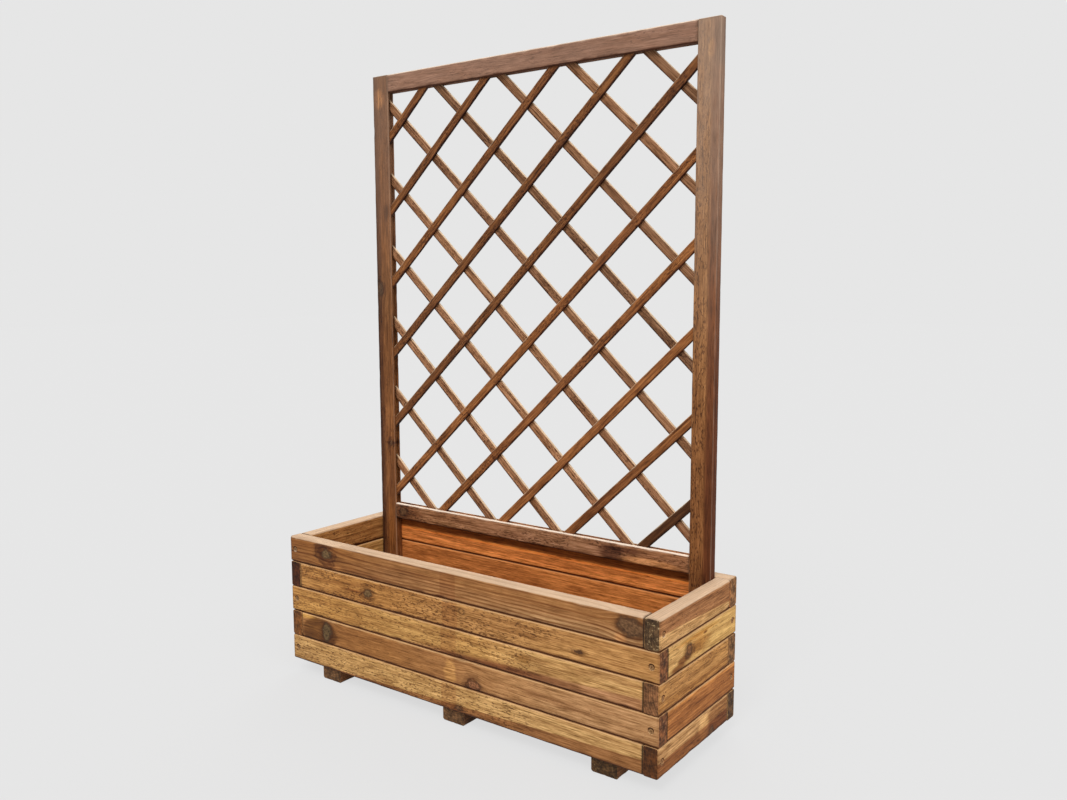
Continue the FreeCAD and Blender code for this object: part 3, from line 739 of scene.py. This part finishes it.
# six draws from 0 to 1 vary each board's wood: a value's start, its spread and which draw it takes
ranges = {
    "heartAcross": (-0.015, 0.03, 0), "heartDepth": (0.045, 0.05, 1), "blotch": (0.1, 0.5, 2), "flecks": (0.2, 0.5, 3),
    "knotAlong": (-0.7, 1.4, 5), "knotAcross": (-0.01, 0.02, 0), "knotRadius": (0.007, 0.006, 1),
}
offBoard = 9
# the top course's open rim: more painted light on its top, and no painted shade from a covering course
rim = {"topFade": 0.95, "topTone": (205, 174, 143), "covered": 0.0}
headMark = {"radius": 0.0062, "tone": (0.3, 0.2, 0.15), "rightTone": (0.75, 0.64, 0.5)}
draw = np.random.default_rng(7)
for wallNumber, wall in enumerate(("front", "back", "right", "left")):
    for course in range(1, 6):
        node = f"{wall}_board_{course}"
        look = dict(boardLook, seed=10 * wallNumber + course, covered=0.95)
        drawn = draw.uniform(size=6)
        at = {name: start + spread * drawn[which] for name, (start, spread, which) in ranges.items()}
        look.update(
            heartLine=(0, at["heartAcross"], at["heartDepth"]), blotch=at["blotch"], flecks=at["flecks"],
            sap=gold if drawn[4] > 0.4 else amber,
            knots=((at["knotAlong"] if drawn[5] > 0.3 else offBoard, at["knotAcross"], at["knotRadius"]),),
        )
        if course == 1:
            look.update(rim)
        look.update(boardDetails.get(node, {}))
        sizes, place = alongAxes(node, (0, 2, 1) if wall in ("front", "back") else (1, 2, 0))
        # the covering end has one screw, half a board's thickness from that end
        coversLow = (course % 2 == 1) == (wall in ("front", "right"))
        face = 0 if wall in ("front", "left") else 2
        along = (sizes[0] / 2 - sizes[2] / 2) * (-1 if coversLow else 1)
        look["butt"] = 1.0 if coversLow else -1.0
        headTone = headMark["rightTone" if wall == "right" else "tone"]
        look["smudges"] += ((along, 0, headMark["radius"], headMark["radius"], headTone, 0.25, 0.3),)
        piece = timber(f"{wall}Board{course}", look, *sizes, place, dents=((face, along, 0.0),))
        dress(piece, node, woodMaterial(f"{wall}Wood{course}", look))
print("wall boards done")


bearerLook = dict(
    boardLook, sap=(138, 90, 54), heartwood=(86, 58, 38), endTone=(104, 72, 44), blotch=0.8, flecks=0.4,
    edgeWear=0.001, nicks=0.002, topFade=0.1, heartLine=(0, 0.0, 0.05), butt=0.0, rub=0.4, under=0.5,
)
bearerScrewInset = 0.006
for number, name in enumerate(("left", "middle", "right")):
    node = f"bearer_{name}"
    look = dict(bearerLook, seed=60 + number)
    if name == "right":
        look.update(endTone=(76, 52, 28), endSpots=0.3)
    sizes, place = alongAxes(node, (1, 0, 2))
    screwAlong = sizes[0] / 2 - bearerScrewInset
    piece = timber(f"{name}Bearer", look, *sizes, place, dents=((0, -screwAlong, 0.0), (0, screwAlong, 0.0)))
    dress(piece, node, woodMaterial(f"{name}BearerWood", look))

floorLook = dict(boardLook, radius=0.002, sap=(184, 138, 84), heartwood=(146, 100, 60), topFade=0.15, butt=0.0)
for number in range(1, 5):
    look = dict(floorLook, seed=70 + number, tone=0.3 * (number % 2) - 0.1)
    fitTimber(f"floor_slat_{number}", f"floorSlat{number}", f"floorWood{number}", look, (0, 1, 2))
for number, name in enumerate(("left", "right")):
    look = dict(floorLook, seed=80 + number, topFade=0.4)
    fitTimber(f"corner_batten_{name}", f"{name}Batten", f"{name}BattenWood", look, (2, 0, 1))
print("bearers and floor done")


# the lattice and the frame that holds it
lattice = {
    "columns": 9, "rows": 11, "columnMargin": 0.0384, "rowMargin": 0.0685, "width": 0.020,
    "setback": 0.0045, "grooveDepth": 0.006, "sideGap": 0.0002, "endGap": 0.0005,
}
postLow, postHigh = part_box("post_left")
opening = {
    "left": postHigh[0], "right": -postHigh[0], "bottom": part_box("rail_bottom")[1][2], "top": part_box("rail_top")[0][2],
}
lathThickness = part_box("rising_slat_05")[1][1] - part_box("rising_slat_05")[0][1]
frameDepth = postHigh[1] - postLow[1]
grooveLow = -frameDepth / 2 + lattice["setback"] - lattice["sideGap"]
grooveHigh = grooveLow + 2 * (lathThickness + lattice["sideGap"])

frameLook = dict(
    boardLook, radius=0.003, sap=(150, 102, 62), heartwood=(112, 68, 42), blotch=0.5, flecks=0.5,
    endTone=(96, 70, 50), topTone=(232, 206, 182), ringStep=0.0034, edgeWear=0.0003, butt=0.0, rub=0.3, nicks=0.0008,
)


def groove(side, **reach):
    # the laths' groove on a side of a timber: side 3 is walked the other way round than side 1
    low, high = (grooveLow, grooveHigh) if side == 1 else (-grooveHigh, -grooveLow)
    return {"side": side, "low": low, "high": high, "depth": lattice["grooveDepth"], **reach}


postLooks = {
    "left": {
        "sap": (134, 84, 44), "heartwood": (104, 63, 34), "split": -0.004, "splitSide": -1.0, "splitBlend": 0.006,
        "lines": 0.5,
        "knots": ((0.172, -0.014, 0.011, 1.5, 2.0, 0.9, (80, 58, 40)), (-0.212, 0.014, 0.004, 1.6, 3.0, 0.7)),
        "weather": 0.55, "weatherFrom": 0.0, "weatherTo": 0.6, "weatherTone": (136, 106, 86),
        "smudges": (
            (0, -0.027, 2.0, 0.011, (0.5, 0.45, 0.42), 0.5, 0.6),
            (0.632, -0.006, 0.022, 0.016, (3.0, 3.3, 3.3), 0.4), (-0.42, 0.008, 0.07, 0.008, (1.25, 1.2, 1.0), 0.6),
            (0.06, 0.004, 0.14, 0.02, (0.88, 0.9, 0.92), 0.6), (0.36, 0.012, 0.02, 0.008, (0.5, 0.45, 0.45), 0.5),
            (0.16, 0.0, 0.08, 0.1, (0.9, 0.93, 0.94), 0.5),
            (-0.212, 0.012, 0.004, 0.016, (0.5, 0.4, 0.35), 0.4, 0.6),
        ),
    },
    "right": {
        "sap": (160, 110, 64), "heartwood": (124, 76, 44), "flecks": 0.7, "flecksUpTo": 0.006, "fleckSpread": 0.2,
        "blotch": 0.2, "contrast": 1.1, "lines": 0.3, "split": 0.004, "splitBlend": 0.007, "ringStep": 0.005,
        "weather": 0.6, "weatherFrom": -0.1, "weatherTo": 0.7, "weatherTone": (168, 142, 122),
        "smudges": (
            (-0.6, 0.0, 0.6, 0.1, (0.68, 0.58, 0.5), 0.8, 0.3),
            (-0.55, 0.028, 0.7, 0.008, (0.72, 0.6, 0.48), 0.4, 0.3),
            (0.25, 0.028, 0.35, 0.008, (0.97, 0.86, 0.72), 0.5, 0.3),
            (0, 0.014, 2.0, 0.006, (0.84, 0.76, 0.7), 0.6, 0.5), (0.63, 0.006, 0.016, 0.008, (2.2, 2.4, 2.4), 0.4),
            (0.64, 0.024, 0.04, 0.012, (0.5, 0.45, 0.45), 0.4),
        ),
    },
}
middle = (postLow[2] + postHigh[2]) / 2
grooved = (opening["bottom"] - lattice["grooveDepth"] - middle, opening["top"] + lattice["grooveDepth"] - middle)
for number, (name, side) in enumerate((("left", 1), ("right", 3))):
    look = {**frameLook, "seed": 90 + number, **postLooks[name]}
    notch = groove(side, reach=grooved)
    fitTimber(f"post_{name}", f"{name}Post", f"{name}PostWood", look, (2, 0, 1), notch)

railLooks = {
    "bottom": {
        # its top takes the palest painted light
        "sap": (170, 122, 86), "heartwood": (148, 100, 72), "topFade": 1.0, "topTone": (240, 220, 200),
        "flecks": 0.9, "contrast": 1.2, "lines": 0.4, "ringStep": 0.005,
        "knots": ((-0.386, 0.0, 0.01, 1.2, 2.6, 0.7),),
        "smudges": (
            (0.226, -0.006, 0.03, 0.02, (0.42, 0.34, 0.32), 0.35, 1.4),
            (0.262, 0.006, 0.04, 0.006, (0.5, 0.42, 0.4), 0.4, 1.0),
            (0.32, -0.012, 0.075, 0.009, (1.65, 1.65, 1.4), 0.35, 0.8),
            (-0.3, 0, 0.22, 0.1, (0.97, 0.93, 0.84), 0.6), (0.36, 0, 0.1, 0.03, (1.04, 0.98, 0.88), 0.5),
            (-0.37, 0, 0.05, 0.04, (0.66, 0.58, 0.5), 0.5),
        ),
    },
    "top": {"sap": (150, 106, 80), "heartwood": (126, 86, 62), "weather": 0.5, "weatherTone": (150, 118, 100)},
}
for number, (name, side) in enumerate((("bottom", 1), ("top", 3))):
    look = {**frameLook, "seed": 95 + number, **railLooks[name]}
    fitTimber(f"rail_{name}", f"{name}Rail", f"{name}RailWood", look, (0, 2, 1), groove(side))
print("trellis frame done")


columnStep = (opening["right"] - opening["left"] - 2 * lattice["columnMargin"]) / (lattice["columns"] - 1)
rowStep = (opening["top"] - opening["bottom"] - 2 * lattice["rowMargin"]) / (lattice["rows"] - 1)
lathLook = dict(
    boardLook, radius=0.0009, pitch=0.004, wear=0.0001, edgeWear=0.0003, nicks=0.0006, endRound=0.0004,
    ringStep=0.003, heartLine=(0, 0.01, 0.03), topTone=(226, 196, 160), flecks=0.9, blotch=0.6, butt=0.0,
    rub=0.2, lines=0.5, edgeShade=0.5, contrast=1.3,
)
lathLooks = {
    "rising": dict(lathLook, seed=101, sap=(146, 92, 48), heartwood=(110, 64, 34)),
    "falling": dict(lathLook, seed=131, sap=(152, 108, 74), heartwood=(122, 82, 56)),
}
lathTones = {
    "rising": (-0.6, -0.9, -0.3, -1.0, -0.9, 0.5, 0.7, 0.9, 0.1, -2.7),
    "falling": (1.4, 0.3, 1.0, 1.2, 0.7, 0.2, -1.2, -0.2, 0.6, -1.0),
}
lathWood = {kind: woodMaterial(f"{kind}LathWood", look) for kind, look in lathLooks.items()}


def lath(kind, number, slope, column, row):
    # a straight lath through one crossing; each end is cut level with the frame, inside its groove
    node = f"{kind}_slat_{number:02d}"
    low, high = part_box(node)
    x = opening["left"] + lattice["columnMargin"] + column * columnStep
    z = opening["bottom"] + lattice["rowMargin"] + row * rowStep
    angle = math.atan2(slope * rowStep, columnStep)
    way = np.array((math.cos(angle), math.sin(angle)))
    up = np.array((-way[1], way[0]))
    reach = lattice["grooveDepth"] - lattice["endGap"]
    ends = []
    for sign in (-1, 1):
        side = (opening["left"] - reach if sign < 0 else opening["right"] + reach) - x
        level = (opening["bottom"] - reach if sign * slope < 0 else opening["top"] + reach) - z
        toSide, toLevel = side / way[0], level / way[1]
        if abs(toSide) < abs(toLevel):
            ends.append((toSide, -up[0] / way[0]))
        else:
            ends.append((toLevel, -up[1] / way[1]))
    middle = (ends[0][0] + ends[1][0]) / 2
    length = ends[1][0] - ends[0][0]
    centre = np.array((x, z)) + way * middle

    def place(local):
        # the lath's middle, plus along times its way, plus across times its up, depth toward the back
        flat = centre + local[:, :1] * way + local[:, 1:2] * up
        return np.stack((flat[:, 0], (low[1] + high[1]) / 2 + local[:, 2], flat[:, 1]), axis=-1)

    look = dict(lathLooks[kind], seed=lathLooks[kind]["seed"] + number, tone=lathTones[kind][number - 1])
    slopes = [slope for _, slope in ends]
    piece = timber(f"{kind}Lath{number:02d}", look, length, lattice["width"], lathThickness, place, slopes)
    # laths share a wood, so each has its grain moved on
    grain = piece.data.attributes["grain"]
    shifted = np.zeros(len(piece.data.vertices) * 3, np.float32)
    grain.data.foreach_get("vector", shifted)
    shifted = shifted.reshape(-1, 3) + np.array((1.3 * number, 0.017 * number, 0), np.float32)
    grain.data.foreach_set("vector", shifted.ravel())
    dress(piece, node, lathWood[kind])


lastColumn, lastRow = lattice["columns"] - 1, lattice["rows"] - 1
for step in range((lastColumn + lastRow) // 2 + 1):
    difference = 2 * step - lastRow
    risingRow = max(0, -difference)
    lath("rising", step + 1, 1, risingRow + difference, risingRow)
    fallingRow = min(2 * step, lastRow)
    lath("falling", step + 1, -1, 2 * step - fallingRow, fallingRow)
print("laths done")


def platedMaterial(name, tone, dull):
    # zinc plate: a mottled tone, dull in patches, and close to the wood's colour on the right wall
    material = bpy.data.materials.new(name)
    w = emptied(material)
    place = w.put("ShaderNodeTexCoord").outputs["Object"]
    spots = w.noise(place, (900, 900, 900), 4, 0.65)
    scratch = w.noise(place, (2400, 300, 300))
    colour = w.mix(w.step(spots, 0.4, 0.65), tone, dull)
    colour = w.mix(w.step(w.split(place)[0], 0.486, 0.489, 0, 0.9), colour, paint(176, 122, 70))
    bump = w.put("ShaderNodeBump", {"Height": scratch, "Strength": 0.3, "Distance": 0.0001}).outputs[0]
    surface = w.put("ShaderNodeBsdfPrincipled", {
        "Base Color": colour, "Roughness": w.timesPlus(spots, 0.35, 0.25), "Normal": bump, "Metallic": 1.0,
    })
    w.put("ShaderNodeOutputMaterial", {0: surface.outputs[0]})
    return material


yellowPlate = platedMaterial("yellowZinc", paint(196, 152, 104), paint(104, 66, 42))
greyPlate = platedMaterial("greyZinc", paint(170, 168, 164), paint(104, 98, 92))
plates = {
    "long_screws": yellowPlate, "short_screws": yellowPlate, "floor_nails": greyPlate, "lattice_nails": greyPlate,
}
for node, plate in plates.items():
    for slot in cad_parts[node].material_slots:
        slot.material = plate
print("fasteners done")


studio = {
    "backdrop": paint(230, 230, 230), "floorReach": 20.0, "glow": 0.853, "matte": 0.09, "bounce": 0.5, "ambient": 0.55,
}


def seenDirectly(w):
    # 1 for camera, glossy and transmission rays, which see the backdrop in place of the lit room
    path = w.put("ShaderNodeLightPath").outputs
    return w.plus(path["Is Camera Ray"], w.plus(path["Is Glossy Ray"], path["Is Transmission Ray"]), clamp=True)


floorMesh = bpy.data.meshes.new("studioFloor")
corners = [(x * studio["floorReach"], y * studio["floorReach"], 0) for x, y in ((-1, -1), (1, -1), (1, 1), (-1, 1))]
floorMesh.from_pydata(corners, [], [(0, 1, 2, 3)])
floor = bpy.data.objects.new("studioFloor", floorMesh)
bpy.context.scene.collection.objects.link(floor)
floorPaint = bpy.data.materials.new("studioFloor")
w = emptied(floorPaint)
glow = w.put("ShaderNodeEmission", {"Color": studio["backdrop"], "Strength": studio["glow"]})
matte = w.put("ShaderNodeBsdfDiffuse", {"Color": (studio["matte"],) * 3 + (1,)})
shown = w.put("ShaderNodeAddShader", {0: glow.outputs[0], 1: matte.outputs[0]})
bounce = w.put("ShaderNodeBsdfDiffuse", {"Color": (studio["bounce"],) * 3 + (1,)})
both = w.put("ShaderNodeMixShader", {0: seenDirectly(w), 1: bounce.outputs[0], 2: shown.outputs[0]})
w.put("ShaderNodeOutputMaterial", {0: both.outputs[0]})
floorMesh.materials.append(floorPaint)

world = bpy.data.worlds.new("studio")
bpy.context.scene.world = world
w = emptied(world)
ambient = w.put("ShaderNodeBackground", {"Color": (1, 1, 1, 1), "Strength": studio["ambient"]})
visible = w.put("ShaderNodeBackground", {"Color": studio["backdrop"], "Strength": 1.0})
both = w.put("ShaderNodeMixShader", {0: seenDirectly(w), 1: ambient.outputs[0], 2: visible.outputs[0]})
w.put("ShaderNodeOutputWorld", {0: both.outputs[0]})

suns = {
    # name: (turn from +X in degrees, height in degrees, strength, spread in degrees)
    "key": (-75, 52, 1.75, 25),
    "side": (-20, 40, 0.8, 40),
    "back": (115, 40, 0.8, 40),
}
for name, (turn, lift, strength, spread) in suns.items():
    lamp = bpy.data.lights.new(name, "SUN")
    lamp.energy = strength
    lamp.angle = math.radians(spread)
    sun = bpy.data.objects.new(name, lamp)
    sun.rotation_euler = (math.radians(90 - lift), 0, math.radians(turn + 90))
    bpy.context.scene.collection.objects.link(sun)

view = {"place": (1.2809, -1.6165, 0.9259), "turn": 36.12, "dip": 6.97, "roll": -0.17, "lens": 32.417}
camera = bpy.data.cameras.new("camera")
camera.sensor_width = 36.0
camera.sensor_fit = "HORIZONTAL"
camera.lens = view["lens"]
eye = bpy.data.objects.new("camera", camera)
turned = Matrix.Rotation(math.radians(view["turn"]), 4, "Z") @ Matrix.Rotation(math.radians(90 - view["dip"]), 4, "X")
eye.matrix_world = Matrix.Translation(view["place"]) @ turned @ Matrix.Rotation(math.radians(view["roll"]), 4, "Z")
bpy.context.scene.collection.objects.link(eye)
bpy.context.scene.camera = eye
bpy.context.scene.view_settings.view_transform = "Standard"
print("stage done")
